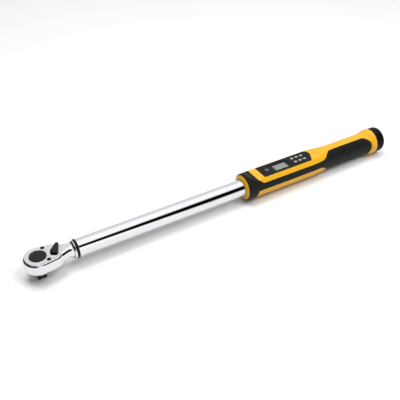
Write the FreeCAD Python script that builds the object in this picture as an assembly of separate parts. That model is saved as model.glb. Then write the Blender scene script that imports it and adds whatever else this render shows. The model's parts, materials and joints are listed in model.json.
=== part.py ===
import FreeCAD, Part
import math
import os

# Electronic torque wrench, millimetres.
# The tool axis runs along +X from the drive to the cap, and the display faces +Z.
# Shapes are built with z measured from the tool axis and x from the drive axis,
# and are lifted by AXIS_HEIGHT when they are written, so that the origin is the
# centre of the drive square's tip.

# ---- driving dimensions -------------------------------------------------
AXIS_HEIGHT = 26.5          # tool axis above the tip of the drive square

SQUARE = 12.7               # half-inch drive
HEAD_TOP = 11.0
HEAD_BOTTOM = -10.0
HEAD_R = 21.3               # round end of the head, about the drive axis
SHOULDER_X = 18.5           # second circle of the pear outline
SHOULDER_R = 19.0
COVER_MARGIN = 2.9          # rim of the head outside the cover plate
COVER_T = 2.2
POCKET_FLOOR = -7.0
DISC_R = 11.64              # visible top disc of the drive
SCREW_X, SCREW_Y = 11.6, 13.4
SCREW_HEAD_R = 3.0
SCREW_SOCKET_R = 1.4
LEVER_X = 25.0              # pivot of the lever and of the pawl
LEVER_ANGLE = 56.0          # lever from +X towards +Y, at rest
SHAFT_R = 4.0
BALL_Z = -AXIS_HEIGHT + 7.2
BALL_R = 2.4
BALL_PROUD = 1.0            # ball outside the flat of the square

TEETH = 48
GEAR_TIP_R = 14.5
TOOTH_DEPTH = 0.85
GEAR_BOTTOM, GEAR_TOP = -6.3, 8.3
JOURNAL_R = 11.0
TOOTH_GAP = 0.05            # running gap between pawl and gear teeth
PAWL_ROCK = 4.8             # pawl angle each side of its middle
PAWL_WEB_R = 15.6           # clear of the teeth between the two toothed ends
PAWL_BACK_R = 18.2
PAWL_HALF_ANGLE = 39.0

COLLAR_X0, COLLAR_X1 = 49.2, 52.7
SEAL_X1 = 56.6
SHANK_R, SHANK_END = 8.0, 76.0
PIN_X, PIN_R = 66.0, 1.98   # cross pin through the shank and the beam
TUBE_R = 14.0
TUBE_BORE = 12.5
TUBE_END = 596.0
BEAM_NECK_X0, BEAM_NECK_X1, BEAM_END = 86.0, 126.0, 152.0
LEAD_HEIGHT = 8.4           # wires pass the beam's rear end here

RING_X0, RING_X1 = 337.4, 340.6
HUB_R, HUB_END = 17.5, 350.0    # ring's hub inside the shells
HANDLE_R = 22.4             # display section and rear collar
GRIP_R = 19.2
GRIP_START, GRIP_FULL = 468.0, 522.0
BULGE_START, BULGE_FULL = 588.5, 606.0
HANDLE_END = 609.6
CAP_END = 629.0
CAP_R = 21.5
CAP_FLUTES = 24
FLAT_Z = 16.9               # flat that carries the display panel
RUBBER_T = 1.6
SHELL_BORE = 14.05          # shells on the tube
BAY_X0, BAY_X1 = 368.0, 484.0
BAY_R = 20.1
WALL_T = 2.6
HOUSING_SCREW_X = (376.5, 478.0)
HOUSING_SCREW_Y = 16.8

PANEL_X0 = 373.4
PANEL_NEAR_X1, PANEL_FAR_X1 = 468.5, 483.5   # slanting rear end
PANEL_HALF = 14.4
PANEL_TOP, PANEL_BOTTOM = 17.15, 15.4
LENS_X0, LENS_X1, LENS_HALF = 394.8, 430.5, 8.8
LENS_Z0, LENS_T = 16.0, 0.95
POWER_X, POWER_D = 387.0, 8.6
KEY_X = (441.8, 451.2, 460.4)
KEY_Y, KEY_MID = 5.1, 0.8   # key rows either side of KEY_MID
KEY_LX, KEY_LY = 6.2, 4.4
KEY_TRAVEL = 0.5
KEY_GAP = 0.15
BOARD_Z0, BOARD_Z1 = 9.8, 11.4
BOARD_X0, BOARD_X1, BOARD_HALF = 378.6, 476.0, 11.6
WINDOW_Z = 7.5              # tube is cut open above this in the bay

CELL_R, CELL_LENGTH, NUB_R, NUB_LENGTH = 7.2, 49.2, 2.7, 1.2
CELLS_X0 = 490.4
CELLS_END = CELLS_X0 + 2 * (CELL_LENGTH + NUB_LENGTH)
CAP_BORE = 17.1
CAP_BOSS_R = 17.0
SEAL_RING_X = 607.0          # O-ring of the cap

V = FreeCAD.Vector
parts = {}


# ---- small helpers --------------------------------------------------------
def rod(radius, x0, x1, y=0.0, z=0.0):
    """Cylinder along the tool axis."""
    return Part.makeCylinder(radius, x1 - x0, V(x0, y, z), V(1, 0, 0))


def ring(outer, inner, x0, x1):
    return rod(outer, x0, x1).cut(rod(inner, x0 - 1, x1 + 1))


def post(radius, z0, z1, x=0.0, y=0.0):
    """Cylinder standing along Z."""
    return Part.makeCylinder(radius, z1 - z0, V(x, y, z0))


def block(x0, x1, y0, y1, z0, z1):
    return Part.makeBox(x1 - x0, y1 - y0, z1 - z0, V(x0, y0, z0))


def face_of(edges):
    return Part.Face(Part.Wire(Part.__sortEdges__(edges)))


def polygon(points):
    return Part.Face(Part.makePolygon(points + [points[0]]))


def plate(outline, z0, z1):
    """Extrude a list of (x, y) corners from z0 to z1."""
    return polygon([V(x, y, z0) for x, y in outline]).extrude(V(0, 0, z1 - z0))


def spun(outline):
    """Turn a list of (x, radius) corners about the tool axis."""
    return polygon([V(x, 0, r) for x, r in outline]).revolve(V(0, 0, 0), V(1, 0, 0), 360)


def turned(shape, degrees, x=0.0, axis=V(0, 0, 1)):
    copy = shape.copy()
    copy.rotate(V(x, 0, 0), axis, degrees)
    return copy


def mirrored(shape):
    """Mirror from -Y to +Y."""
    return shape.mirror(V(0, 0, 0), V(0, 1, 0))


def edges_at(shape, z):
    """Edges lying at one height."""
    return [e for e in shape.Edges
            if abs(e.BoundBox.ZMin - z) < 1e-6 and abs(e.BoundBox.ZMax - z) < 1e-6]


def edges_at_x(shape, x):
    """Edges lying in one plane across the tool axis."""
    return [e for e in shape.Edges
            if abs(e.BoundBox.XMin - x) < 1e-6 and abs(e.BoundBox.XMax - x) < 1e-6]


def hexagon(x, y, radius):
    """Corners of a hexagon about (x, y)."""
    corners = [i * math.pi / 3 for i in range(6)]
    return [(x + radius * math.cos(a), y + radius * math.sin(a)) for a in corners]


def joined(shapes):
    body = shapes[0]
    for other in shapes[1:]:
        body = body.fuse(other)
    return body.removeSplitter()


def oval(x, y, length, width, z0, z1):
    """Elliptical post, longer along X."""
    if length == width:
        return post(length / 2, z0, z1, x, y)
    edge = Part.Ellipse(V(x, y, z0), length / 2, width / 2).toShape()
    return Part.Face(Part.Wire(edge)).extrude(V(0, 0, z1 - z0))


def coil(radius, wire_r, length, turns):
    """Spring along +Z from the origin, measured over its wire."""
    pitch = (length - 2 * wire_r) / turns
    path = Part.Wire(Part.makeHelix(pitch, pitch * turns, radius).Edges)
    section = Part.Wire(Part.Circle(V(radius, 0, 0), V(0, 1, 0), wire_r).toShape())
    spring = path.makePipeShell([section], True, True)
    spring.translate(V(0, 0, wire_r))
    return spring


def laid(shape, base, direction):
    """Turn a shape built along +Z from the origin to run along direction from base."""
    place = FreeCAD.Placement(base, FreeCAD.Rotation(V(0, 0, 1), direction))
    shape.Placement = place.multiply(shape.Placement)
    return shape


def lead(points, radius):
    """Wire along straight runs joined by tangent arcs."""
    pts = [V(*p) for p in points]
    edges = []
    start = pts[0]
    for before, corner, after in zip(pts, pts[1:], pts[2:]):
        into, out = (corner - before).normalize(), (after - corner).normalize()
        turn = into.getAngle(out)
        cut = 0.45 * min((corner - before).Length, (after - corner).Length)
        bend = cut / math.tan(turn / 2)
        a, b = corner - into * cut, corner + out * cut
        centre = corner + (out - into).normalize() * (bend / math.cos(turn / 2))
        middle = centre + (corner - centre).normalize() * bend
        edges.append(Part.LineSegment(start, a).toShape())
        edges.append(Part.Arc(a, middle, b).toShape())
        start = b
    edges.append(Part.LineSegment(start, pts[-1]).toShape())
    section = Part.Wire(Part.Circle(pts[0], pts[1] - pts[0], radius).toShape())
    tube = Part.Wire(edges).makePipeShell([section], True, True)
    length = sum(edge.Length for edge in edges)
    ratio = tube.Volume / (math.pi * radius**2 * length)
    print("lead: %.1f mm long, volume ratio %.4f" % (length, ratio))
    return tube


def s_curve(x0, r0, x1, r1):
    """Two equal tangent arcs from (x0, r0) to (x1, r1), level at both ends."""
    run, rise = x1 - x0, r1 - r0
    bend = (run * run + rise * rise) / (4 * abs(rise))
    half = math.asin(run / 2 / bend) / 2
    side = math.copysign(1, rise)
    dx, dr = bend * math.sin(half), side * bend * (1 - math.cos(half))
    middle = V((x0 + x1) / 2, 0, (r0 + r1) / 2)
    first = Part.Arc(V(x0, 0, r0), V(x0 + dx, 0, r0 + dr), middle)
    second = Part.Arc(middle, V(x1 - dx, 0, r1 - dr), V(x1, 0, r1))
    return [first.toShape(), second.toShape()]


# ---- head -----------------------------------------------------------------
def pear(x0_radius, shoulder_radius, z0, z1):
    """Prism over the pear outline: two circles and their common tangents."""
    beta = math.acos((x0_radius - shoulder_radius) / SHOULDER_X)
    c, s = math.cos(beta), math.sin(beta)
    top_a, low_a = V(x0_radius * c, x0_radius * s, z0), V(x0_radius * c, -x0_radius * s, z0)
    top_b = V(SHOULDER_X + shoulder_radius * c, shoulder_radius * s, z0)
    low_b = V(SHOULDER_X + shoulder_radius * c, -shoulder_radius * s, z0)
    edges = [
        Part.Arc(top_a, V(-x0_radius, 0, z0), low_a).toShape(),
        Part.LineSegment(low_a, low_b).toShape(),
        Part.Arc(low_b, V(SHOULDER_X + shoulder_radius, 0, z0), top_b).toShape(),
        Part.LineSegment(top_b, top_a).toShape(),
    ]
    return face_of(edges).extrude(V(0, 0, z1 - z0))


def neck_blank():
    """Waisted neck between head and collar."""
    profile = [(27, 13.8), (33, 12.4), (37.5, 10.4), (41.6, 9.4), (45.2, 9.7), (COLLAR_X0, 11.2)]
    (x0, r0), (x1, r1) = profile[0], profile[-1]
    skin = Part.BSplineCurve()
    skin.interpolate([V(x, 0, r) for x, r in profile])
    edges = [
        skin.toShape(),
        Part.LineSegment(V(x1, 0, r1), V(x1, 0, 0)).toShape(),
        Part.LineSegment(V(x1, 0, 0), V(x0, 0, 0)).toShape(),
        Part.LineSegment(V(x0, 0, 0), V(x0, 0, r0)).toShape(),
    ]
    neck = face_of(edges).revolve(V(0, 0, 0), V(1, 0, 0), 360)
    return neck.common(block(20, 60, -30, 30, HEAD_BOTTOM - 5, HEAD_TOP - 0.4))


def neck_plate():
    """Flat top of the head, carried back over the neck to the collar."""
    side = [(20, 18.4), (24, 17.4), (28.8, 16.0), (34, 13.8), (39.6, 11.4), (44, 9.9), (COLLAR_X0, 8.6)]
    outline = side + [(x, -y) for x, y in reversed(side)]
    body = plate(outline, -1.0, HEAD_TOP)
    body = body.makeFillet(2.4, edges_at(body, HEAD_TOP))
    envelope = spun([(20, 0), (20, 26), (30, 20), (40, 16), (COLLAR_X0, 13.2), (COLLAR_X0, 0)])
    return body.common(envelope)


def sector(inner, outer, half_angle, z0, z1):
    """Ring sector about the drive axis, centred on +X."""
    a = math.radians(half_angle)
    reach = outer / math.cos(a) + 5
    x, y = reach * math.cos(a), reach * math.sin(a)
    wedge = plate([(0, 0), (x, -y), (reach * 1.5, 0), (x, y)], z0, z1)
    return post(outer, z0, z1).cut(post(inner, z0 - 1, z1 + 1)).common(wedge)


def mechanism_pocket(z0, z1):
    shapes = [
        post(15.0, z0, z1),
        sector(12.0, 20.2, 42.5, z0, z1),
        post(8.2, z0, z1, LEVER_X),
        plate([(16.5, -7.8), (LEVER_X, -8.2), (LEVER_X, 8.2), (16.5, 7.8)], z0, z1),
    ]
    return joined(shapes)


def head_housing():
    body = pear(HEAD_R, SHOULDER_R, HEAD_BOTTOM, HEAD_TOP)
    body = body.makeFillet(2.6, edges_at(body, HEAD_TOP))
    body = body.makeFillet(6.8, edges_at(body, HEAD_BOTTOM))
    body = joined([body, neck_blank(), neck_plate(), rod(SHANK_R, 45, SHANK_END)])
    cover_z = HEAD_TOP - COVER_T
    body = body.cut(pear(HEAD_R - COVER_MARGIN, SHOULDER_R - COVER_MARGIN, cover_z, HEAD_TOP + 1))
    body = body.cut(mechanism_pocket(POCKET_FLOOR, cover_z))
    body = body.cut(post(JOURNAL_R + 0.06, HEAD_BOTTOM - 1, POCKET_FLOOR))
    body = body.cut(post(2.56, POCKET_FLOOR - 1.7, POCKET_FLOOR, LEVER_X))
    for side in (-1, 1):
        body = body.cut(post(1.5, -3, cover_z, SCREW_X, side * SCREW_Y))
    return body.cut(post(PIN_R + 0.02, -12, 12, PIN_X))


def cover_plate():
    margin = COVER_MARGIN + 0.05
    z0 = HEAD_TOP - COVER_T
    body = pear(HEAD_R - margin, SHOULDER_R - margin, z0, HEAD_TOP)
    body = body.makeChamfer(0.3, edges_at(body, HEAD_TOP))
    body = body.cut(post(DISC_R + 0.06, z0 - 1, HEAD_TOP + 1))
    body = body.cut(Part.makeCone(DISC_R + 0.06, DISC_R + 0.9, 0.8, V(0, 0, HEAD_TOP - 0.8)))
    body = body.cut(post(SHAFT_R + 0.06, z0 - 1, HEAD_TOP + 1, LEVER_X))
    for side in (-1, 1):
        body = body.cut(post(1.6, z0 - 1, HEAD_TOP + 1, SCREW_X, side * SCREW_Y))
        body = body.cut(post(SCREW_HEAD_R + 0.08, HEAD_TOP - 1.2, HEAD_TOP + 1, SCREW_X, side * SCREW_Y))
    return body


def cover_screws():
    screws = []
    for side in (-1, 1):
        screw = post(1.45, -2.5, HEAD_TOP - 1.2, SCREW_X, side * SCREW_Y)
        screw = screw.fuse(post(SCREW_HEAD_R, HEAD_TOP - 1.2, HEAD_TOP + 0.1, SCREW_X, side * SCREW_Y))
        socket = plate(hexagon(SCREW_X, side * SCREW_Y, SCREW_SOCKET_R), HEAD_TOP - 1.0, HEAD_TOP + 1)
        screws.append(screw.cut(socket))
    return Part.makeCompound(screws)


def gear_blank(gap, z0, z1):
    """Ratchet wheel with symmetric teeth; a tooth points along +X."""
    tip, root = GEAR_TIP_R + gap, GEAR_TIP_R - TOOTH_DEPTH + gap
    pitch = 2 * math.pi / TEETH
    outline = []
    for i in range(TEETH):
        for share, radius in ((-0.06, tip), (0.06, tip), (0.44, root), (0.56, root)):
            a = (i + share) * pitch
            outline.append((radius * math.cos(a), radius * math.sin(a)))
    return plate(outline, z0, z1)


def drive_gear():
    body = gear_blank(0, GEAR_BOTTOM, GEAR_TOP)
    disc = post(DISC_R, GEAR_TOP - 1, HEAD_TOP + 0.15)
    disc = disc.makeChamfer(0.4, edges_at(disc, HEAD_TOP + 0.15))
    journal = post(JOURNAL_R, HEAD_BOTTOM - 0.6, GEAR_BOTTOM + 1)
    half = SQUARE / 2
    square = block(-half, half, -half, half, -AXIS_HEIGHT, GEAR_BOTTOM)
    square = square.makeFillet(1.0, [e for e in square.Edges if e.BoundBox.ZLength > 5])
    square = square.makeChamfer(0.8, edges_at(square, -AXIS_HEIGHT))
    body = joined([body, disc, journal, square])
    body = body.cut(Part.makeCylinder(2.45, half, V(0, -half, BALL_Z), V(0, 1, 0)))
    return body


def retention_ball():
    return Part.makeSphere(BALL_R, V(0, -SQUARE / 2 - BALL_PROUD + BALL_R, BALL_Z))


def ball_spring():
    back = -0.1
    front = -SQUARE / 2 - BALL_PROUD + 2 * BALL_R
    return laid(coil(1.5, 0.3, back - front - 0.1, 4), V(0, back, BALL_Z), V(0, -1, 0))


def drive_washer():
    body = post(13.4, POCKET_FLOOR + 0.05, GEAR_BOTTOM - 0.05)
    return body.cut(post(11.3, POCKET_FLOOR - 1, GEAR_BOTTOM + 1))


def lever_blank():
    """Teardrop of the lever with its pivot at the origin, pointing along +X."""
    z0, z1 = HEAD_TOP + 0.25, HEAD_TOP + 3.0
    outline = [(-8.0, -4.7), (-4.0, -6.0), (14, -2.1), (14, 2.1), (-4.0, 6.0), (-8.0, 4.7)]
    body = plate(outline, z0, z1)
    for x, radius in ((-8.0, 2.8), (14, 1.9), (-4.0, 5.0)):
        corner = [e for e in body.Edges
                  if e.BoundBox.ZLength > 2 and abs(e.BoundBox.XMin - x) < 0.01]
        body = body.makeFillet(radius, corner)
    return body.makeFillet(0.9, edges_at(body, z1))


def plunger_line():
    """Direction from the lever's pivot to the pawl's pocket, at rest."""
    a = math.radians(180 + LEVER_ANGLE)
    return V(math.cos(a), math.sin(a), 0)


def reverse_lever():
    cap = turned(lever_blank(), LEVER_ANGLE)
    cap.translate(V(LEVER_X, 0, 0))
    body = joined([cap, post(SHAFT_R, -6.6, HEAD_TOP + 1, LEVER_X), post(2.5, -8.6, -6, LEVER_X)])
    away = plunger_line()
    return body.cut(Part.makeCylinder(1.55, 7.0, V(LEVER_X, 0, 0) - away * 2.8, away))


def lever_plunger():
    away = plunger_line()
    pivot = V(LEVER_X, 0, 0)
    body = Part.makeCylinder(1.5, 3.2, pivot + away * 0.8, away)
    return body.fuse(Part.makeSphere(1.5, pivot + away * 4.0)).removeSplitter()


def plunger_spring():
    away = plunger_line()
    return laid(coil(1.05, 0.25, 3.45, 4), V(LEVER_X, 0, 0) - away * 2.7, away)


def pawl():
    """Double-ended pawl, cut to mesh at both ends of its rock."""
    z0, z1 = GEAR_BOTTOM - 0.3, GEAR_TOP + 0.1
    blank = joined([
        sector(13.0, PAWL_BACK_R, PAWL_HALF_ANGLE, z0, z1),
        post(7.0, z0, z1, LEVER_X),
        plate([(16.5, -6.4), (LEVER_X, -7.0), (LEVER_X, 7.0), (16.5, 6.4)], z0, z1),
    ])
    blank = blank.cut(sector(10, PAWL_WEB_R, 27.0, z0 - 1, z1 + 1))
    engaged = turned(blank, -PAWL_ROCK, LEVER_X).cut(gear_blank(TOOTH_GAP, z0 - 1, z1 + 1))
    half = turned(engaged, PAWL_ROCK, LEVER_X).common(block(0, 40, -30, 0, z0, z1))
    body = joined([half, mirrored(half)])
    body = body.cut(post(SHAFT_R + 0.06, z0 - 1, z1 + 1, LEVER_X))
    sweep = math.radians(LEVER_ANGLE + PAWL_ROCK + 24)
    x, y = LEVER_X - 12 * math.cos(sweep), 12 * math.sin(sweep)
    swept = plate([(LEVER_X, 0), (x, -y), (LEVER_X - 16, 0), (x, y)], -1.8, 1.8)
    body = body.cut(post(5.7, -1.8, 1.8, LEVER_X).common(swept))
    return turned(body, -PAWL_ROCK, LEVER_X)


# ---- neck, tube and sensor ------------------------------------------------
def neck_collar():
    body = ring(TUBE_R, SHANK_R + 0.02, COLLAR_X0, COLLAR_X1)
    rims = [e for e in edges_at_x(body, COLLAR_X0) + edges_at_x(body, COLLAR_X1)
            if e.Curve.Radius > TUBE_R - 1]
    return body.makeFillet(0.6, rims)


def neck_seal():
    bore = SHANK_R + 0.02
    return spun([(COLLAR_X1, bore), (COLLAR_X1, 13.7), (COLLAR_X1 + 0.6, 14.3),
                 (SEAL_X1 - 0.6, 14.3), (SEAL_X1, 13.9), (SEAL_X1, bore)])


def tube():
    body = ring(TUBE_R, TUBE_BORE, SEAL_X1, TUBE_END)
    return body.cut(block(BAY_X0 + 6, BAY_X1 - 4, -20, 20, WINDOW_Z, 20))


def sensor_beam():
    body = joined([
        rod(11.6, 58.0, BEAM_NECK_X0),
        block(BEAM_NECK_X0 - 1, BEAM_NECK_X1 + 1, -5.5, 5.5, -7.5, 7.5),
        rod(TUBE_BORE - 0.02, BEAM_NECK_X1, BEAM_END),
    ])
    body = body.cut(rod(SHANK_R + 0.02, 57, SHANK_END + 0.5))
    body = body.cut(post(PIN_R + 0.02, -12, 12, PIN_X))
    return body.cut(rod(1.3, BEAM_NECK_X1 - 2, BEAM_END + 1, 0, LEAD_HEIGHT))


def beam_pin():
    return post(PIN_R, -11.0, 11.0, PIN_X)


def strain_gauges():
    gauges = []
    for x in (92.0, 110.0):
        for y in (-5.75, 5.5):
            gauges.append(block(x, x + 9, y, y + 0.25, -3, 3))
    return Part.makeCompound(gauges)


def gauge_leads():
    route = [(106, 0, LEAD_HEIGHT), (168, 0, LEAD_HEIGHT), (216, 0, 2.5), (262, 0, -4.5), (308, 0, -4.0),
             (345, 0, 0), (376, 0, 0), (383, 0, 1.6), (386, 0, 5.0), (386, 0, BOARD_Z0)]
    return lead(route, 0.9)


def tube_bush():
    return rod(TUBE_BORE - 0.02, 355, 366).cut(rod(1.3, 354, 367))


# ---- handle shells ---------------------------------------------------------
def handle_blank(inset=0.0):
    """Outer form of the handle behind the nose ring, shrunk by inset."""
    r0, r1 = HANDLE_R - inset, GRIP_R - inset
    nose = RING_X1 + 2.0
    edges = [Part.LineSegment(V(RING_X1, 0, r0 - 1.3), V(nose, 0, r0)).toShape()]
    edges.append(Part.LineSegment(V(nose, 0, r0), V(GRIP_START, 0, r0)).toShape())
    edges += s_curve(GRIP_START, r0, GRIP_FULL, r1)
    edges.append(Part.LineSegment(V(GRIP_FULL, 0, r1), V(BULGE_START, 0, r1)).toShape())
    edges += s_curve(BULGE_START, r1, BULGE_FULL, r0)
    edges.append(Part.LineSegment(V(BULGE_FULL, 0, r0), V(HANDLE_END, 0, r0)).toShape())
    edges.append(Part.LineSegment(V(HANDLE_END, 0, r0), V(HANDLE_END, 0, 0)).toShape())
    edges.append(Part.LineSegment(V(HANDLE_END, 0, 0), V(RING_X1, 0, 0)).toShape())
    edges.append(Part.LineSegment(V(RING_X1, 0, 0), V(RING_X1, 0, r0 - 1.3)).toShape())
    body = face_of(edges).revolve(V(0, 0, 0), V(1, 0, 0), 360)
    z = FLAT_Z - inset
    above = lines([(345, 30), (345, z + 5.6), (356, z), (480, z), (506, z + 4.2), (506, 30), (345, 30)])
    return body.cut(side_view(above))


def side_view(edges):
    """Prism across the handle over an outline in the X-Z plane, from -30 to 30."""
    return face_of(edges).extrude(V(0, 60, 0))


def lines(points):
    pts = [V(x, -30, z) for x, z in points]
    return [Part.LineSegment(a, b).toShape() for a, b in zip(pts, pts[1:])]


def smooth(points):
    curve = Part.BSplineCurve()
    curve.interpolate([V(x, -30, z) for x, z in points])
    return [curve.toShape()]


def zone_edges(spine_z, tail, rear):
    """Outline of the yellow shell from the side: tail and rear are its curves beside the grip."""
    edges = lines([(480, 10.4), (369, 10.6), (360, FLAT_Z), (360, 30),
                   (620, 30), (620, -30), (595, -30), rear[0]])
    edges += smooth(rear)
    edges += lines([rear[-1], (tail[0][0], spine_z)])
    return edges + smooth(tail)


def upper_zone():
    """Everything that the yellow upper shell covers; its spine reaches further round on the far side."""
    near_rear = [(596, -6), (598.4, 1), (599.0, 6), (597.4, 11.6), (592.5, 15.6), (584, 18.1)]
    near_tail = [(512, 18.1), (505.5, 17.3), (500.5, 14.9), (496.5, 12.4), (489.5, 10.9), (480, 10.4)]
    far_rear = [(596, -6), (598.4, 0), (598.8, 4), (596.5, 8.6), (591, 11.6), (584, 12.8)]
    far_tail = [(512, 12.8), (504, 12.5), (496, 11.7), (488, 10.8), (480, 10.4)]
    near = face_of(zone_edges(18.1, near_tail, near_rear)).extrude(V(0, 30, 0))
    far = face_of(zone_edges(12.8, far_tail, far_rear)).extrude(V(0, 30, 0))
    far.translate(V(0, 30, 0))
    return joined([near, far])


def stripe_zone():
    """Yellow belly of the lower shell."""
    edges = lines([(480, -0.6), (358.5, -0.6), (353, -30), (506, -30), (502, -16)])
    edges += smooth([(502, -16), (498, -8.5), (491, -2.8), (480, -0.6)])
    return side_view(edges)


def bay():
    """Room for the electronics round the tube."""
    body = rod(BAY_R, BAY_X0, BAY_X1)
    return body.cut(block(BAY_X0 - 1, BAY_X1 + 1, -30, 30, FLAT_Z - WALL_T, 30))


def shell_bores():
    return joined([
        rod(SHELL_BORE, RING_X1 - 5, TUBE_END + 1),
        rod(CAP_BORE, TUBE_END + 0.5, HANDLE_END + 1),
        rod(HUB_R + 0.1, RING_X1 - 1, HUB_END + 0.2),
        bay(),
    ])


def panel_outline(margin, z0, z1):
    """Panel with a slanting rear end and round corners, shrunk by margin."""
    x0, half = PANEL_X0 + margin, PANEL_HALF - margin
    slope = (PANEL_FAR_X1 - PANEL_NEAR_X1) / (2 * PANEL_HALF)
    middle = (PANEL_FAR_X1 + PANEL_NEAR_X1) / 2 - margin * math.hypot(1, slope)
    corners = {
        "front near": (x0, -half, 1.6),
        "rear near": (middle - slope * half, -half, 4.5),
        "rear far": (middle + slope * half, half, 9.0),
        "front far": (x0, half, 1.6),
    }
    body = plate([(x, y) for x, y, radius in corners.values()], z0, z1)
    for x, y, radius in corners.values():
        upright = [e for e in body.Edges if e.BoundBox.ZLength > 0.1
                   and abs(e.BoundBox.XMin - x) < 0.01 and abs(e.BoundBox.YMin - y) < 0.01]
        body = body.makeFillet(radius - margin, upright)
    return body


def screw_places():
    return [(x, side * HOUSING_SCREW_Y) for x in HOUSING_SCREW_X for side in (-1, 1)]


def upper_housing(blank, zone):
    body = blank.common(zone).cut(shell_bores())
    body = body.cut(panel_outline(-0.08, PANEL_BOTTOM, 30))
    body = body.cut(panel_outline(1.4, 10, 30))
    room = handle_blank(1.0).common(zone).fuse(rod(BAY_R - 0.1, BAY_X0, BAY_X1))
    for x, y in screw_places():
        boss = post(2.4, 2.0, 14, x, y).common(room)
        body = body.fuse(boss).cut(post(1.1, 1.0, 10, x, y))
    return body.removeSplitter()


def lower_housing(blank, core, zone, stripe):
    body = joined([core.common(rod(30, RING_X1, BULGE_START + 1)), blank.common(stripe)])
    body = body.cut(zone).cut(shell_bores())
    for x, y in screw_places():
        boss = post(2.4, -16, 1.9, x, y).common(handle_blank(0.6))
        body = body.fuse(boss).cut(post(1.25, -20, 3, x, y)).cut(post(2.1, -20, -12.4, x, y))
    return body.removeSplitter()


def grip_rubber(blank, core, zone, stripe):
    body = blank.common(rod(30, RING_X1, BULGE_START + 8))
    body = body.cut(core).cut(zone).cut(stripe)
    return max(body.Solids, key=lambda solid: solid.Volume)


def housing_screws():
    screws = []
    for x, y in screw_places():
        screw = joined([post(1.05, -12.4, 8.0, x, y), post(2.0, -14.0, -12.4, x, y)])
        screws.append(screw.cut(post(0.9, -15, -13.2, x, y)))
    return Part.makeCompound(screws)


def front_ring():
    return spun([(RING_X0, SHELL_BORE), (RING_X0, 15.2), (RING_X0 + 0.5, 16.6),
                 (RING_X1 - 0.5, 20.0), (RING_X1, 20.3), (RING_X1, HUB_R),
                 (HUB_END, HUB_R), (HUB_END, SHELL_BORE)])


# ---- display, keys and board ------------------------------------------------
def key_places():
    return [(x, KEY_MID + side * KEY_Y) for side in (1, -1) for x in KEY_X]


def bezel_posts():
    return [(382.0, 9.3), (382.0, -9.3), (473.0, 8.0), (467.0, -8.6)]


def display_bezel():
    body = panel_outline(0, PANEL_BOTTOM, PANEL_TOP)
    body = body.makeChamfer(0.35, edges_at(body, PANEL_TOP))
    body = body.cut(block(LENS_X0, LENS_X1, -LENS_HALF, LENS_HALF, LENS_Z0, 20))
    body = body.cut(block(LENS_X0 + 1, LENS_X1 - 1, 1 - LENS_HALF, LENS_HALF - 1, 14, 20))
    body = body.cut(oval(POWER_X, 0, POWER_D + 2 * KEY_GAP, POWER_D + 2 * KEY_GAP, 14, 20))
    for x, y in key_places():
        body = body.cut(oval(x, y, KEY_LX + 2 * KEY_GAP, KEY_LY + 2 * KEY_GAP, 14, 20))
    for x, y in bezel_posts():
        body = body.fuse(post(2.0, BOARD_Z1, PANEL_BOTTOM + 0.5, x, y))
        body = body.cut(post(0.8, BOARD_Z1 - 1, 15.2, x, y))
    return body.removeSplitter()


def lcd_lens():
    gap = 0.05
    top = LENS_Z0 + LENS_T
    body = block(LENS_X0 + gap, LENS_X1 - gap, gap - LENS_HALF, LENS_HALF - gap, LENS_Z0, top)
    return body.makeChamfer(0.2, edges_at(body, top))


def lcd_module():
    top = 14.8
    frame = block(LENS_X0 - 2.4, LENS_X1 + 2.5, -9.4, 9.4, BOARD_Z1, top)
    return frame.makeChamfer(0.4, edges_at(frame, top))


def key_cap(x, y, length, width):
    """Cap, retaining flange under the panel, and stem."""
    top = PANEL_TOP + 0.6
    cap = oval(x, y, length, width, PANEL_BOTTOM - 0.1, top)
    cap = cap.makeFillet(0.35, edges_at(cap, top))
    flange = oval(x, y, length + 1.2, width + 1.2, 14.6, PANEL_BOTTOM - 0.06)
    return joined([cap, flange, post(1.2, 12.9, 15, x, y)])


def key_switches():
    half, top = 2.1, 12.0
    switches = []
    for x, y in [(POWER_X, 0)] + key_places():
        case = block(x - half, x + half, y - half, y + half, BOARD_Z1, top)
        switches.append(joined([case, post(0.9, top, top + 0.3, x, y)]))
    return Part.makeCompound(switches)


def circuit_board():
    body = block(BOARD_X0, BOARD_X1, -BOARD_HALF, BOARD_HALF, BOARD_Z0, BOARD_Z1)
    for x, y in bezel_posts():
        body = body.cut(post(1.0, BOARD_Z0 - 1, BOARD_Z1 + 1, x, y))
    return body


def board_screws():
    return Part.makeCompound([
        joined([post(0.78, BOARD_Z0, 14.8, x, y), post(1.7, BOARD_Z0 - 1.2, BOARD_Z0, x, y)])
        for x, y in bezel_posts()])


def processor_chip():
    return block(404, 414, -5, 5, BOARD_Z0 - 1.4, BOARD_Z0)


def buzzer():
    body = post(6.0, BOARD_Z0 - 4.2, BOARD_Z0, 442)
    return body.cut(post(1.2, BOARD_Z0 - 5, BOARD_Z0 - 3.4, 442))


# ---- battery and cap ----------------------------------------------------------
def cell(x0):
    """Cylindrical cell with its positive nub towards the display."""
    nub = rod(NUB_R, x0, x0 + NUB_LENGTH + 0.5)
    can = rod(CELL_R, x0 + NUB_LENGTH, x0 + NUB_LENGTH + CELL_LENGTH)
    rims = [e for e in can.Edges if e.Curve.TypeId == "Part::GeomCircle"]
    return joined([nub, can.makeFillet(0.5, rims)])


def battery_tube():
    body = rod(TUBE_BORE - 0.05, 486.5, 594.0).cut(rod(CELL_R + 0.4, 489.6, 595))
    body = body.cut(block(488.5, 595, -1.6, 1.6, 9.95, 10.45))
    for y, z in ((3.0, 0), (0.0, 10.2)):
        body = body.cut(rod(0.8, 486, 490, y, z))
    return body


def front_contact():
    return rod(6.6, 489.7, CELLS_X0)


def contact_strip():
    return block(489.0, 596.5, -1.5, 1.5, 10.0, 10.4)


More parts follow.
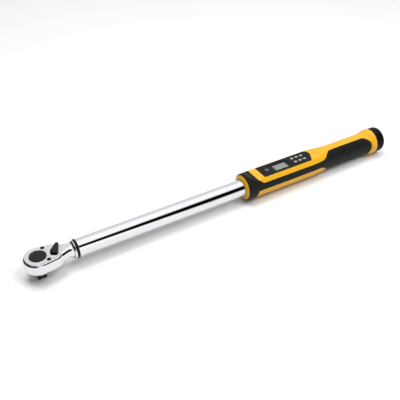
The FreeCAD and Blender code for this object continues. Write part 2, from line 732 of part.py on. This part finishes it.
def battery_leads():
    to_plus = [(489.7, 3.0, 0), (480, 3.0, 0), (472, 3.0, 1.4), (468, 3.0, 5.2), (468, 3.0, BOARD_Z0)]
    to_minus = [(489.0, 0, 10.2), (484.5, 0, 10.2), (479, 0, 8.4), (472, 0, 5.2),
                (464, 0, 5.4), (462, 0, 7.4), (462, 0, BOARD_Z0)]
    return Part.makeCompound([lead(to_plus, 0.7), lead(to_minus, 0.7)])


def contact_carrier():
    body = rod(13.3, 602.0, 621.8).cut(rod(11.8, 604.0, 622.8))
    return body.cut(rod(5.2, 601.5, 602.6))


def contact_spring():
    return laid(coil(4.4, 0.45, 602.6 - CELLS_END - 0.2, 5), V(CELLS_END + 0.1, 0, 0), V(1, 0, 0))


def end_cap():
    body = joined([rod(CAP_R, HANDLE_END + 0.15, CAP_END), rod(CAP_BOSS_R, 599.0, HANDLE_END + 1)])
    front = [e for e in edges_at_x(body, HANDLE_END + 0.15) if e.Curve.Radius > CAP_R - 1]
    body = body.makeFillet(5.0, edges_at_x(body, CAP_END)).makeFillet(0.5, front)
    body = body.cut(rod(13.5, 598, 622.0))
    groove = rod(18, SEAL_RING_X - 0.9, SEAL_RING_X + 0.9).cut(rod(15.4, SEAL_RING_X - 1, SEAL_RING_X + 1))
    body = body.cut(groove)
    flute = rod(0.9, HANDLE_END + 2.4, CAP_END - 5.5, 0, CAP_R + 0.45)
    for i in range(CAP_FLUTES):
        body = body.cut(turned(flute, 360.0 * i / CAP_FLUTES, 0, V(1, 0, 0)))
    return body


def cap_seal():
    return Part.makeTorus(16.25, 0.8, V(SEAL_RING_X, 0, 0), V(1, 0, 0))


# ---- assembly -------------------------------------------------------------------
def build():
    blank = handle_blank()
    core = handle_blank(RUBBER_T)
    zone = upper_zone()
    stripe = stripe_zone()
    parts.update({
        "head_housing": head_housing(),
        "cover_plate": cover_plate(),
        "cover_screws": cover_screws(),
        "drive_gear": drive_gear(),
        "drive_washer": drive_washer(),
        "retention_ball": retention_ball(),
        "ball_spring": ball_spring(),
        "reverse_lever": reverse_lever(),
        "lever_plunger": lever_plunger(),
        "plunger_spring": plunger_spring(),
        "pawl": pawl(),
        "neck_collar": neck_collar(),
        "neck_seal": neck_seal(),
        "tube": tube(),
        "sensor_beam": sensor_beam(),
        "beam_pin": beam_pin(),
        "strain_gauges": strain_gauges(),
        "gauge_leads": gauge_leads(),
        "tube_bush": tube_bush(),
        "front_ring": front_ring(),
        "upper_housing": upper_housing(blank, zone),
        "lower_housing": lower_housing(blank, core, zone, stripe),
        "grip_rubber": grip_rubber(blank, core, zone, stripe),
        "housing_screws": housing_screws(),
        "display_bezel": display_bezel(),
        "lcd_lens": lcd_lens(),
        "lcd_module": lcd_module(),
        "circuit_board": circuit_board(),
        "processor_chip": processor_chip(),
        "key_switches": key_switches(),
        "buzzer": buzzer(),
        "board_screws": board_screws(),
        "battery_tube": battery_tube(),
        "battery_front": cell(CELLS_X0),
        "battery_rear": cell(CELLS_X0 + CELL_LENGTH + NUB_LENGTH),
        "front_contact": front_contact(),
        "contact_strip": contact_strip(),
        "battery_leads": battery_leads(),
        "contact_carrier": contact_carrier(),
        "contact_spring": contact_spring(),
        "end_cap": end_cap(),
        "cap_seal": cap_seal(),
        "power_button": key_cap(POWER_X, 0, POWER_D, POWER_D),
    })
    names = ("unit_button", "mode_button", "up_button", "memory_button", "clear_button", "down_button")
    for name, (x, y) in zip(names, key_places()):
        parts[name] = key_cap(x, y, KEY_LX, KEY_LY)


build()
os.makedirs("parts", exist_ok=True)
for name, shape in parts.items():
    shape.translate(V(0, 0, AXIS_HEIGHT))
    shape.exportStep("parts/%s.step" % name)
    report = (name, len(shape.Solids), shape.Volume, shape.isValid())
    print("%-16s %2d solid(s) %10.1f mm3 valid=%s" % report)
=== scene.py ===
import json
import math

import bmesh
import bpy
import numpy as np
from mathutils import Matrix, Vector


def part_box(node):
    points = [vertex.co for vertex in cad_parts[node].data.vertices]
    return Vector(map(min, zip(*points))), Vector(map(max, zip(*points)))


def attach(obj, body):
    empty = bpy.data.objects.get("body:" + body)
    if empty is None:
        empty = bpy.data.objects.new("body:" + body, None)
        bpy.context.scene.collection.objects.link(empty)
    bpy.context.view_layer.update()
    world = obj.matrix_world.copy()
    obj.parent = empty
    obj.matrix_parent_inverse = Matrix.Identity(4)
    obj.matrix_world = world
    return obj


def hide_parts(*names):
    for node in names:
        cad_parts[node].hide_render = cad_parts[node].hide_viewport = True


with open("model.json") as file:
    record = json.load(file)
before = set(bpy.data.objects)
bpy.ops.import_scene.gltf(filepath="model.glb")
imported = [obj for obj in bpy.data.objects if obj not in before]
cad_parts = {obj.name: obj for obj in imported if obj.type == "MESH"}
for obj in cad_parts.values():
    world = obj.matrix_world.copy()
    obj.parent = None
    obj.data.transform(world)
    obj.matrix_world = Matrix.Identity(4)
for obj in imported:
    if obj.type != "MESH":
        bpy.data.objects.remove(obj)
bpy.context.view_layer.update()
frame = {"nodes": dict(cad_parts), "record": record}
nodes = frame["nodes"]

MM = 0.001
tube_low, tube_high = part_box("tube")
TUBE_R = (tube_high.y - tube_low.y) / 2 / MM
AXIS_Z = tube_low.z / MM + TUBE_R      # height of the tool axis
collar_low, collar_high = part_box("neck_collar")
COLLAR_X0, COLLAR_X1 = collar_low.x / MM, collar_high.x / MM
SEGMENTS = 192


# ---- stage: camera, floor and light ----------------------------------------
LENS, SENSOR = 57.6, 36.0
CAMERA_YAW, CAMERA_PITCH = 59.106, 37.545      # degrees; the camera looks down
CAMERA_X, CAMERA_Y, CAMERA_RISE = -142.66, -674.65, 610.15      # mm, the rise from the tool axis

FLOOR_HALF = 6.0            # metres
FLOOR_GAP = 0.0002
REAR_REST = 4 * MM          # from the handle's end to the point that it rests on


def add_camera():
    data = bpy.data.cameras.new("camera")
    data.lens = LENS
    data.sensor_width = SENSOR
    data.clip_end = 20.0
    camera = bpy.data.objects.new("camera", data)
    yaw, pitch = math.radians(CAMERA_YAW), math.radians(CAMERA_PITCH)
    level = math.cos(pitch)
    look = Vector((math.cos(yaw) * level, math.sin(yaw) * level, -math.sin(pitch)))
    camera.location = Vector((CAMERA_X, CAMERA_Y, CAMERA_RISE + AXIS_Z)) * MM
    camera.rotation_euler = look.to_track_quat("-Z", "Y").to_euler()
    bpy.context.scene.collection.objects.link(camera)
    bpy.context.scene.camera = camera


def add_floor():
    """The tool rests on the drive's tip and on the rear collar, so the floor meets both."""
    low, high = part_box("upper_housing")
    rise = low.z / (high.x - REAR_REST)
    size = FLOOR_HALF
    corners = [(-size, -size), (size, -size), (size, size), (-size, size)]
    mesh = bpy.data.meshes.new("floor")
    mesh.from_pydata([(x, y, x * rise - FLOOR_GAP) for x, y in corners], [], [(0, 1, 2, 3)])
    floor = bpy.data.objects.new("floor", mesh)
    bpy.context.scene.collection.objects.link(floor)
    mesh.materials.append(floor_material())


def node_tools(owner):
    """Functions that make, link and calculate with nodes in a material or a world."""
    tree = owner.node_tree
    tree.nodes.clear()

    def make(kind, **inputs):
        node = tree.nodes.new(kind)
        for key, value in inputs.items():
            name = key.replace("_", " ")
            if name in node.inputs:
                node.inputs[name].default_value = value
            else:
                setattr(node, key, value)
        return node

    def link(out_socket, in_socket):
        tree.links.new(out_socket, in_socket)

    def sums(operation, a, b=0.0):
        """Math node on sockets or numbers."""
        node = tree.nodes.new("ShaderNodeMath")
        node.operation = operation
        for socket, value in zip(node.inputs, (a, b)):
            if isinstance(value, (int, float)):
                socket.default_value = value
            else:
                tree.links.new(value, socket)
        return node.outputs[0]

    return make, link, sums


def set_ramp(node, stops):
    """Stops are (position, grey or colour)."""
    ramp = node.color_ramp
    while len(ramp.elements) < len(stops):
        ramp.elements.new(0.5)
    for element, (position, tone) in zip(ramp.elements, stops):
        element.position = position
        colour = (tone, tone, tone) if isinstance(tone, (int, float)) else tone
        element.color = tuple(colour) + (1.0,)


def floor_material():
    material = bpy.data.materials.new("floor_paper")
    material.use_nodes = True
    make, link, _ = node_tools(material)
    output = make("ShaderNodeOutputMaterial")
    shader = make("ShaderNodeBsdfPrincipled", Roughness=0.9)
    shader.inputs["Specular IOR Level"].default_value = 0.2
    grain = make("ShaderNodeTexNoise", Scale=40.0)
    tone = make("ShaderNodeValToRGB")
    set_ramp(tone, [(0.0, 0.705), (1.0, 0.735)])
    link(grain.outputs["Fac"], tone.inputs["Fac"])
    link(tone.outputs["Color"], shader.inputs["Base Color"])
    link(shader.outputs["BSDF"], output.inputs["Surface"])
    return material


WORLD_STRENGTH = 1.3
BACKDROP_GREY = 0.92
FLAG_CENTRE, FLAG_RISE, FLAG_FALL = 2.199, 0.89, -0.9      # radians, and radians per unit of X
FLAG_HALF, FLAG_SPREAD, FLAG_LEAST = 0.15, 0.62, 0.20
RISE_END, FALL_START = 0.40, 0.45                          # X of the direction
FLAG_RAMP = [(0.38, 0.0), (0.74, 1.0)]                     # by distance over the flag's width
SKY_RAMP = [(0.08, 0.62), (0.26, 0.74), (0.38, 1.0)]       # by angle over half a turn
FRONT_X, FRONT_EDGE = 0.28, 7.0                            # dark card in front of the head
FRONT_Z, FRONT_TOP_EDGE = 1.02, 4.5
FRONT_DIM = 0.97


def add_world():
    """White studio, a little dimmer towards the far horizon, with two dark cards.

    One is a flag beside the camera that runs along the tool and is wider towards the handle's
    end. The other stands in front of the head. They show only in reflections: the empty
    background is plain.
    """
    world = bpy.data.worlds.new("studio")
    bpy.context.scene.world = world
    world.use_nodes = True
    make, link, sums = node_tools(world)

    def above(value, limit):
        """How far a value is above a limit, or nothing."""
        return sums("MAXIMUM", sums("SUBTRACT", value, limit), 0.0)

    def multiplied(a, b):
        mix = make("ShaderNodeMix", data_type="RGBA", blend_type="MULTIPLY")
        mix.inputs[0].default_value = 1.0
        link(a, mix.inputs[6])
        link(b, mix.inputs[7])
        return mix.outputs[2]

    def ramp(value, stops):
        node = make("ShaderNodeValToRGB")
        set_ramp(node, stops)
        link(value, node.inputs["Fac"])
        return node.outputs["Color"]

    output = make("ShaderNodeOutputWorld")
    background = make("ShaderNodeBackground", Strength=WORLD_STRENGTH)
    place = make("ShaderNodeTexCoord")
    split = make("ShaderNodeSeparateXYZ")
    link(place.outputs["Generated"], split.inputs[0])
    along = split.outputs["X"]
    height = sums("ARCTAN2", split.outputs["Z"], split.outputs["Y"])

    near = sums("MINIMUM", along, RISE_END)
    far = above(along, FALL_START)
    bend = sums("ADD", sums("MULTIPLY", near, FLAG_RISE), sums("MULTIPLY", far, FLAG_FALL))
    centre = sums("ADD", bend, FLAG_CENTRE)
    half = sums("ADD", sums("MULTIPLY", near, FLAG_SPREAD), FLAG_HALF)
    half = sums("ADD", sums("MAXIMUM", half, FLAG_LEAST), far)
    off = sums("ABSOLUTE", sums("SUBTRACT", height, centre))
    flag = ramp(sums("DIVIDE", off, sums("MULTIPLY", half, 2.0)), FLAG_RAMP)
    sky = ramp(sums("DIVIDE", height, math.pi), SKY_RAMP)

    side = sums("MULTIPLY", above(sums("MULTIPLY", along, -1.0), FRONT_X), FRONT_EDGE)
    low = sums("MULTIPLY", above(FRONT_Z, split.outputs["Z"]), FRONT_TOP_EDGE)
    card = sums("MULTIPLY", sums("MINIMUM", side, 1.0), sums("MINIMUM", low, 1.0))
    dim = sums("SUBTRACT", 1.0, sums("MULTIPLY", card, FRONT_DIM))
    link(multiplied(multiplied(flag, sky), dim), background.inputs["Color"])

    grey = BACKDROP_GREY
    backdrop = make("ShaderNodeBackground", Color=(grey, grey, grey, 1.0), Strength=1.0)
    ray = make("ShaderNodeLightPath")
    shown = make("ShaderNodeMixShader")
    link(ray.outputs["Is Camera Ray"], shown.inputs[0])
    link(background.outputs[0], shown.inputs[1])
    link(backdrop.outputs[0], shown.inputs[2])
    link(shown.outputs[0], output.inputs["Surface"])


def add_light(name, location, target, size, power, glossy=True):
    data = bpy.data.lights.new(name, "AREA")
    data.shape = "RECTANGLE"
    data.size, data.size_y = size
    data.energy = power
    light = bpy.data.objects.new(name, data)
    light.visible_glossy = glossy
    light.location = location
    light.rotation_euler = (Vector(target) - Vector(location)).to_track_quat("-Z", "Y").to_euler()
    bpy.context.scene.collection.objects.link(light)


# ---- materials ---------------------------------------------------------------
def surface(name, colour, roughness, metallic=0.0, grain=600.0, spread=0.06, bump=0.02,
            rough_spread=0.08, specular=0.5, alpha=1.0):
    """A finish with fine colour variation, uneven gloss and a slight texture."""
    material = bpy.data.materials.new(name)
    material.use_nodes = True
    make, link, _ = node_tools(material)
    output = make("ShaderNodeOutputMaterial")
    shader = make("ShaderNodeBsdfPrincipled", Metallic=metallic, Alpha=alpha)
    shader.inputs["Specular IOR Level"].default_value = specular
    place = make("ShaderNodeTexCoord")
    noise = make("ShaderNodeTexNoise", Scale=grain, Detail=4.0)
    link(place.outputs["Object"], noise.inputs["Vector"])
    tone = make("ShaderNodeValToRGB")
    set_ramp(tone, [(0.3, tuple(c * (1 - spread) for c in colour)),
                    (0.7, tuple(min(1, c * (1 + spread)) for c in colour))])
    link(noise.outputs["Fac"], tone.inputs["Fac"])
    link(tone.outputs["Color"], shader.inputs["Base Color"])
    wear = make("ShaderNodeTexNoise", Scale=grain / 12, Detail=3.0)
    link(place.outputs["Object"], wear.inputs["Vector"])
    gloss = make("ShaderNodeMapRange")
    gloss.inputs["From Min"].default_value = 0.3
    gloss.inputs["From Max"].default_value = 0.7
    gloss.inputs["To Min"].default_value = max(0.0, roughness - rough_spread / 2)
    gloss.inputs["To Max"].default_value = roughness + rough_spread / 2
    link(wear.outputs["Fac"], gloss.inputs["Value"])
    link(gloss.outputs["Result"], shader.inputs["Roughness"])
    relief = make("ShaderNodeBump", Strength=bump, Distance=0.0002)
    link(noise.outputs["Fac"], relief.inputs["Height"])
    link(relief.outputs["Normal"], shader.inputs["Normal"])
    link(shader.outputs["BSDF"], output.inputs["Surface"])
    return material


STEEL_TEXTURE = dict(grain=900, bump=0.05, specular=0.2)
FINISHES = {
    "chrome": dict(colour=(0.735, 0.742, 0.762), roughness=0.05, metallic=1.0, grain=300,
                   spread=0.01, bump=0.004, rough_spread=0.02),
    "black_steel": dict(colour=(0.007, 0.007, 0.0073), roughness=0.38, spread=0.12, **STEEL_TEXTURE),
    "dark_steel": dict(colour=(0.006, 0.006, 0.0065), roughness=0.35, spread=0.1, **STEEL_TEXTURE),
    "steel": dict(colour=(0.5, 0.5, 0.51), roughness=0.3, metallic=1.0),
    "black_rubber": dict(colour=(0.0075, 0.009, 0.0075), roughness=0.55, grain=1500, spread=0.15,
                         bump=0.25, specular=0.15),
    "gauge_foil": dict(colour=(0.6, 0.3, 0.05), roughness=0.4),
    "wire_sleeve": dict(colour=(0.4, 0.03, 0.02), roughness=0.4),
    "inner_plastic": dict(colour=(0.05, 0.05, 0.055), roughness=0.5),
    "yellow_plastic": dict(colour=(0.64, 0.335, 0.008), roughness=0.45, grain=1800, spread=0.03,
                           bump=0.08, specular=0.38),
    "panel_black": dict(colour=(0.008, 0.007, 0.006), roughness=0.22, grain=1500, spread=0.1,
                        bump=0.02, specular=0.10),
    "clear_window": dict(colour=(0.06, 0.065, 0.06), roughness=0.06, grain=400, spread=0.03,
                         bump=0.0, specular=0.3, alpha=0.12),
    "display_glass": dict(colour=(0.30, 0.34, 0.315), roughness=0.3, specular=0.2),
    "surround": dict(colour=(0.006, 0.006, 0.006), roughness=0.4, specular=0.1),
    "board_green": dict(colour=(0.01, 0.12, 0.04), roughness=0.4),
    "component_black": dict(colour=(0.02, 0.02, 0.02), roughness=0.5),
    "battery_can": dict(colour=(0.15, 0.16, 0.18), roughness=0.3, metallic=0.5),
    "brass": dict(colour=(0.7, 0.5, 0.18), roughness=0.3, metallic=1.0),
    "cap_black": dict(colour=(0.0035, 0.0035, 0.004), roughness=0.45, grain=1500, spread=0.15,
                      bump=0.2, specular=0.10),
    "key_light": dict(colour=(0.27, 0.275, 0.28), roughness=0.5, grain=1500),
    "key_dark": dict(colour=(0.03, 0.033, 0.04), roughness=0.5, grain=1500, specular=0.3),
}
finishes = {name: surface(name, **settings) for name, settings in FINISHES.items()}


def paint_cad():
    """Each carried-over CAD node gets its slot's finish; the display's body is a dark surround."""
    slots = {entry["node"]: entry["material_slot"] for entry in frame["record"]["subparts"]}
    slots["lcd_module"] = "surround"
    for name, node in nodes.items():
        node.data.materials.clear()
        node.data.materials.append(finishes[slots[name]])


# ---- mesh tools ---------------------------------------------------------------
def add_piece(name, vertices, faces, slot, body, replaced=(), sharp=35.0):
    """Piece from vertices in millimetres about the tool axis."""
    mesh = bpy.data.meshes.new(name)
    mesh.from_pydata([(x * MM, y * MM, (z + AXIS_Z) * MM) for x, y, z in vertices], [], faces)
    piece = bpy.data.objects.new(name, mesh)
    bpy.context.scene.collection.objects.link(piece)
    mesh.materials.append(finishes[slot])
    shade(piece, sharp)
    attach(piece, body)
    if replaced:
        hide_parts(*replaced)
    return piece


def shade(piece, sharp):
    """Smooth shading with creases at edges sharper than the given angle."""
    work = bmesh.new()
    work.from_mesh(piece.data)
    bmesh.ops.recalc_face_normals(work, faces=work.faces)
    for face in work.faces:
        face.smooth = True
    for edge in work.edges:
        edge.smooth = edge.calc_face_angle(0.0) < math.radians(sharp)
    work.to_mesh(piece.data)
    work.free()


def soften(points, radius, steps=5):
    """Round the corners of a closed outline."""
    result = []
    count = len(points)
    for i, corner in enumerate(points):
        corner = Vector(corner)
        before = Vector(points[i - 1]) - corner
        after = Vector(points[(i + 1) % count]) - corner
        reach = min(radius, before.length * 0.45, after.length * 0.45)
        start, end = corner + before.normalized() * reach, corner + after.normalized() * reach
        for step in range(steps + 1):
            t = step / steps
            result.append(tuple(start * (1 - t) ** 2 + corner * 2 * t * (1 - t) + end * t * t))
    return result


def lathe(profile, segments=SEGMENTS):
    """Vertices and faces of a closed (x, radius) outline turned about the tool axis."""
    vertices, faces = [], []
    count = len(profile)
    for i in range(segments):
        angle = 2 * math.pi * i / segments
        vertices += [(x, r * math.cos(angle), r * math.sin(angle)) for x, r in profile]
    for i in range(segments):
        j = (i + 1) % segments
        for k in range(count):
            m = (k + 1) % count
            faces.append((i * count + k, i * count + m, j * count + m, j * count + k))
    return vertices, faces


def prism(outline, z0, z1):
    """Vertices and faces of an (x, y) outline between two heights."""
    count = len(outline)
    vertices = [(x, y, z0) for x, y in outline] + [(x, y, z1) for x, y in outline]
    faces = [tuple(range(count))[::-1], tuple(range(count, 2 * count))]
    faces += [(k, (k + 1) % count, count + (k + 1) % count, count + k) for k in range(count)]
    return vertices, faces


def circle(x, y, radius, count=96):
    angles = [2 * math.pi * i / count for i in range(count)]
    return [(x + radius * math.cos(a), y + radius * math.sin(a)) for a in angles]


def carve(piece, cuts):
    """Cut prisms out of a piece."""
    for vertices, faces in cuts:
        mesh = bpy.data.meshes.new("cut")
        mesh.from_pydata([(x * MM, y * MM, (z + AXIS_Z) * MM) for x, y, z in vertices], [], faces)
        cutter = bpy.data.objects.new("cut", mesh)
        bpy.context.scene.collection.objects.link(cutter)
        modifier = piece.modifiers.new("cut", "BOOLEAN")
        modifier.operation = "DIFFERENCE"
        modifier.solver = "EXACT"
        modifier.object = cutter
        bpy.context.view_layer.update()
        graph = bpy.context.evaluated_depsgraph_get()
        result = bpy.data.meshes.new_from_object(piece.evaluated_get(graph))
        piece.modifiers.remove(modifier)
        piece.data = result
        bpy.data.objects.remove(cutter)
        bpy.data.meshes.remove(mesh)


# ---- head ------------------------------------------------------------------------
HEAD_TOP, HEAD_BOTTOM = 11.0, -10.0
HEAD_R, SHOULDER_X, SHOULDER_R = 21.3, 18.5, 19.0
COVER_MARGIN, COVER_T = 2.9, 2.2
TOP_EDGE, BOTTOM_EDGE = 4.2, 6.8
POCKET_BOTTOM, GEAR_POCKET_R, DRIVE_BORE_R = -7.0, 15.0, 11.06
LEVER_X, LEVER_POCKET_R = 25.0, 8.2
PAWL_POCKET_R, PAWL_POCKET_ANGLE = 20.2, 42.5

# the neck: a turned waist with a flat tapering plate on top, both from NECK_START on
NECK_START = 20
NECK = [(27, 13.8), (33, 12.4), (37.5, 10.4), (41.6, 9.4), (45.2, 9.7), (COLLAR_X0, 11.2)]
NECK_DROP = 4.0                 # the turned waist stays this far below the plate's top
NECK_TOP = [(20, 16.4), (25, 16.7), (28.8, 15.9), (34, 13.8), (39.6, 11.4), (44, 9.9), (COLLAR_X0, 8.6)]
NECK_ENVELOPE = [(20, 26), (30, 20), (40, 15.5), (COLLAR_X0, 11.6)]
PLATE_EDGE = [(22, TOP_EDGE), (34, 6.8)]
PLATE_BOTTOM = -1.0
NECK_BLEND, PLATE_BLEND, PLAN_BLEND = 4.0, 3.0, 1.5


def pear_distance(x, y):
    """Distance outside the head's outline: two circles and their common tangents."""
    y = np.abs(y)
    slope = (HEAD_R - SHOULDER_R) / SHOULDER_X
    level = math.sqrt(1 - slope * slope)
    along = level * x - slope * y
    front = np.hypot(x, y) - HEAD_R
    rear = np.hypot(x - SHOULDER_X, y) - SHOULDER_R
    side = level * y + slope * x - HEAD_R
    return np.where(along < 0, front, np.where(along > level * SHOULDER_X, rear, side))


def rounded_edge(across, above, radius):
    """Distance to a convex edge with a round of the given radius."""
    a, b = across + radius, above + radius
    return np.minimum(np.maximum(a, b), 0) + np.hypot(np.maximum(a, 0), np.maximum(b, 0)) - radius


def blended(a, b, reach):
    """Union of two distances with a soft inner corner."""
    share = np.maximum(reach - np.abs(a - b), 0) / reach
    return np.minimum(a, b) - share * share * reach / 4


def smooth_through(points, x, degree):
    """Smooth curve fitted through (x, value) points."""
    fit = np.polyfit([p[0] for p in points], [p[1] for p in points], degree)
    return np.polyval(fit, np.clip(x, points[0][0], points[-1][0]))


def head_distance(x, y, z):
    """Distance outside the head and neck; negative inside."""
    flat = pear_distance(x, y)
    block = np.maximum(rounded_edge(flat, z - HEAD_TOP, TOP_EDGE),
                       rounded_edge(flat, HEAD_BOTTOM - z, BOTTOM_EDGE))
    before_neck = NECK_START - x
    radius = smooth_through(NECK, x, len(NECK) - 1)
    neck = np.maximum(np.hypot(y, z) - radius, z - HEAD_TOP + NECK_DROP)
    neck = np.maximum(neck, before_neck)
    half = smooth_through(NECK_TOP, x, 4)
    plan = blended(flat, np.maximum((np.abs(y) - half) * 0.95, before_neck), PLAN_BLEND)
    edge = np.interp(x, *zip(*PLATE_EDGE))
    envelope = np.interp(x, *zip(*NECK_ENVELOPE))
    plate = np.maximum(rounded_edge(plan, z - HEAD_TOP, edge), PLATE_BOTTOM - z)
    plate = np.maximum(plate, np.maximum(before_neck, np.hypot(y, z) - envelope))
    return np.minimum(blended(neck, plate, PLATE_BLEND), blended(neck, block, NECK_BLEND))


def head_skin():
    """Outer skin of the head and neck, found along rays from the tool axis."""
    rays = 320
    front = -HEAD_R * np.cos(np.linspace(0.02, math.pi / 2, 60))
    rear = np.linspace(0, COLLAR_X0, 110)[1:]
    stations = np.concatenate([front, rear])
    angles = np.linspace(0, 2 * math.pi, rays, endpoint=False)
    x, angle = np.meshgrid(stations, angles, indexing="ij")
    low, high = np.zeros_like(x), np.full_like(x, 32.0)
    for step in range(28):
        middle = (low + high) / 2
        inside = head_distance(x, middle * np.cos(angle), middle * np.sin(angle)) < 0
        low, high = np.where(inside, middle, low), np.where(inside, high, middle)
    points = np.stack([x, low * np.cos(angle), low * np.sin(angle)], axis=-1).reshape(-1, 3)
    count = len(stations)
    vertices = [tuple(p) for p in points] + [(-HEAD_R, 0, 0), (COLLAR_X0, 0, 0)]
    faces = []
    for i in range(count - 1):
        for k in range(rays):
            m = (k + 1) % rays
            faces.append((i * rays + k, i * rays + m, (i + 1) * rays + m, (i + 1) * rays + k))
    for k in range(rays):
        m = (k + 1) % rays
        faces.append((len(vertices) - 2, m, k))
        faces.append((len(vertices) - 1, (count - 1) * rays + k, (count - 1) * rays + m))
    return vertices, faces


def pear_outline(margin, count=64):
    """Head's outline, shrunk by margin."""
    r0, r1 = HEAD_R - margin, SHOULDER_R - margin
    turn = math.acos((r0 - r1) / SHOULDER_X)
    outline = []
    for i in range(count + 1):
        a = turn + (2 * math.pi - 2 * turn) * i / count
        outline.append((r0 * math.cos(a), r0 * math.sin(a)))
    for i in range(count + 1):
        a = -turn + 2 * turn * i / count
        outline.append((SHOULDER_X + r1 * math.cos(a), r1 * math.sin(a)))
    return outline


def pawl_pocket(count=24):
    """Sector behind the gear in which the pawl swings."""
    radius, half_angle = PAWL_POCKET_R, PAWL_POCKET_ANGLE
    angles = [math.radians(half_angle * (2 * i / count - 1)) for i in range(count + 1)]
    return [(0.0, 0.0)] + [(radius * math.cos(a), radius * math.sin(a)) for a in angles]


def build_head():
    cover_z = HEAD_TOP - COVER_T
    head = add_piece("head_skin", *head_skin(), "chrome", "wrench", ["head_housing"])
    carve(head, [prism(pear_outline(COVER_MARGIN), cover_z, HEAD_TOP + 2),
                 prism(circle(0, 0, GEAR_POCKET_R), POCKET_BOTTOM, cover_z + 1),
                 prism(circle(LEVER_X, 0, LEVER_POCKET_R), POCKET_BOTTOM, cover_z + 1),
                 prism(pawl_pocket(), POCKET_BOTTOM, cover_z),
                 prism(circle(0, 0, DRIVE_BORE_R), HEAD_BOTTOM - 2, POCKET_BOTTOM + 1)])
    shade(head, 40.0)


# ---- tube, collar and seal ----------------------------------------------------
TUBE_BORE, SHANK_BORE = 12.5, 8.02
WINDOW_X0, WINDOW_X1, WINDOW_Z = 374, 480, 7.5      # opening in the tube under the display
COLLAR_R, COLLAR_BORE, COLLAR_BEVEL, COLLAR_RECESS = 14.0, 12.3, 2.2, 1.3
SEAL_R = 14.3


def build_tube():
    low, high = tube_low.x / MM, tube_high.x / MM
    wall = [(low, TUBE_BORE), (low, TUBE_R), (high, TUBE_R), (high, TUBE_BORE)]
    tube = add_piece("tube_skin", *lathe(soften(wall, 0.3)), "chrome", "wrench", ["tube"])
    opening = [(WINDOW_X0, -20), (WINDOW_X1, -20), (WINDOW_X1, 20), (WINDOW_X0, 20)]
    carve(tube, [prism(opening, WINDOW_Z, 20)])
    shade(tube, 40.0)

    recess = COLLAR_X0 + COLLAR_RECESS
    collar = [(recess, SHANK_BORE), (recess, COLLAR_BORE), (COLLAR_X0, COLLAR_BORE),
              (COLLAR_X0 + COLLAR_BEVEL, COLLAR_R), (COLLAR_X1, COLLAR_R), (COLLAR_X1, SHANK_BORE)]
    add_piece("collar_skin", *lathe(soften(collar, 0.45)), "chrome", "wrench", ["neck_collar"])

    # Painted shade: a black rubber ring fills the collar's front recess to stand for the dark shadowed
    # gap between the neck and the collar.
    front, back, rim = COLLAR_X0 + 0.2, recess - 0.05, COLLAR_BORE - 0.1
    painted_shade_ring = [(front, SHANK_BORE), (front, rim), (back, rim), (back, SHANK_BORE)]
    add_piece("collar_painted_shade_ring", *lathe(soften(painted_shade_ring, 0.3)), "black_rubber", "wrench")

    seal = [(COLLAR_X1, SHANK_BORE), (COLLAR_X1, 13.7), (COLLAR_X1 + 0.6, SEAL_R),
            (low - 0.6, SEAL_R), (low, 13.9), (low, SHANK_BORE)]
    add_piece("seal_skin", *lathe(soften(seal, 0.35)), "black_rubber", "wrench", ["neck_seal"])


# ---- display and power mark ----------------------------------------------------
FACE_FRONT, FACE_REAR, FACE_SIDE = 7.4, 4.0, 2.0      # display's margins inside its window
MARK_OUTER, MARK_INNER = 1.9, 1.4


def build_display():
    """A plain, switched-off display face under the clear window."""
    low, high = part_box("lcd_lens")
    x0, x1, half = low.x / MM + FACE_FRONT, high.x / MM - FACE_REAR, high.y / MM - FACE_SIDE
    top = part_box("lcd_module")[1].z / MM - AXIS_Z
    outline = soften([(x0, -half), (x1, -half), (x1, half), (x0, half)], 0.6)
    add_piece("display_face", *prism(outline, top - 0.2, top + 0.1), "display_glass", "wrench")


def build_marks():
    """A plain ring on the power key."""
    low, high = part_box("power_button")
    x, y, top = (low.x + high.x) / 2 / MM, (low.y + high.y) / 2 / MM, high.z / MM - AXIS_Z
    loops = [circle(x, y, MARK_OUTER, 40), circle(x, y, MARK_INNER, 40)]
    count = len(loops[0])
    vertices = [(a, b, z) for z in (top - 0.1, top + 0.04) for loop in loops for a, b in loop]
    faces = []
    for k in range(count):
        m = (k + 1) % count
        outer, inner, top_outer, top_inner = [(n * count + k, n * count + m) for n in range(4)]
        faces += [(*outer, *reversed(top_outer)), (*reversed(inner), *top_inner),
                  (*top_outer, *reversed(top_inner)), (*reversed(outer), *inner)]
    add_piece("power_mark", vertices, faces, "key_light", "power_key")


add_camera()
add_floor()
add_world()
add_light("key", (0.9, -0.9, 1.7), (0.3, 0.0, 0.0), (1.2, 1.0), 25, glossy=False)
add_light("top", (0.1, 0.25, 2.0), (0.1, 0.25, 0.0), (0.9, 0.9), 24, glossy=False)
paint_cad()
build_head()
build_tube()
build_display()
build_marks()

view = bpy.context.scene.view_settings
view.view_transform = "Standard"
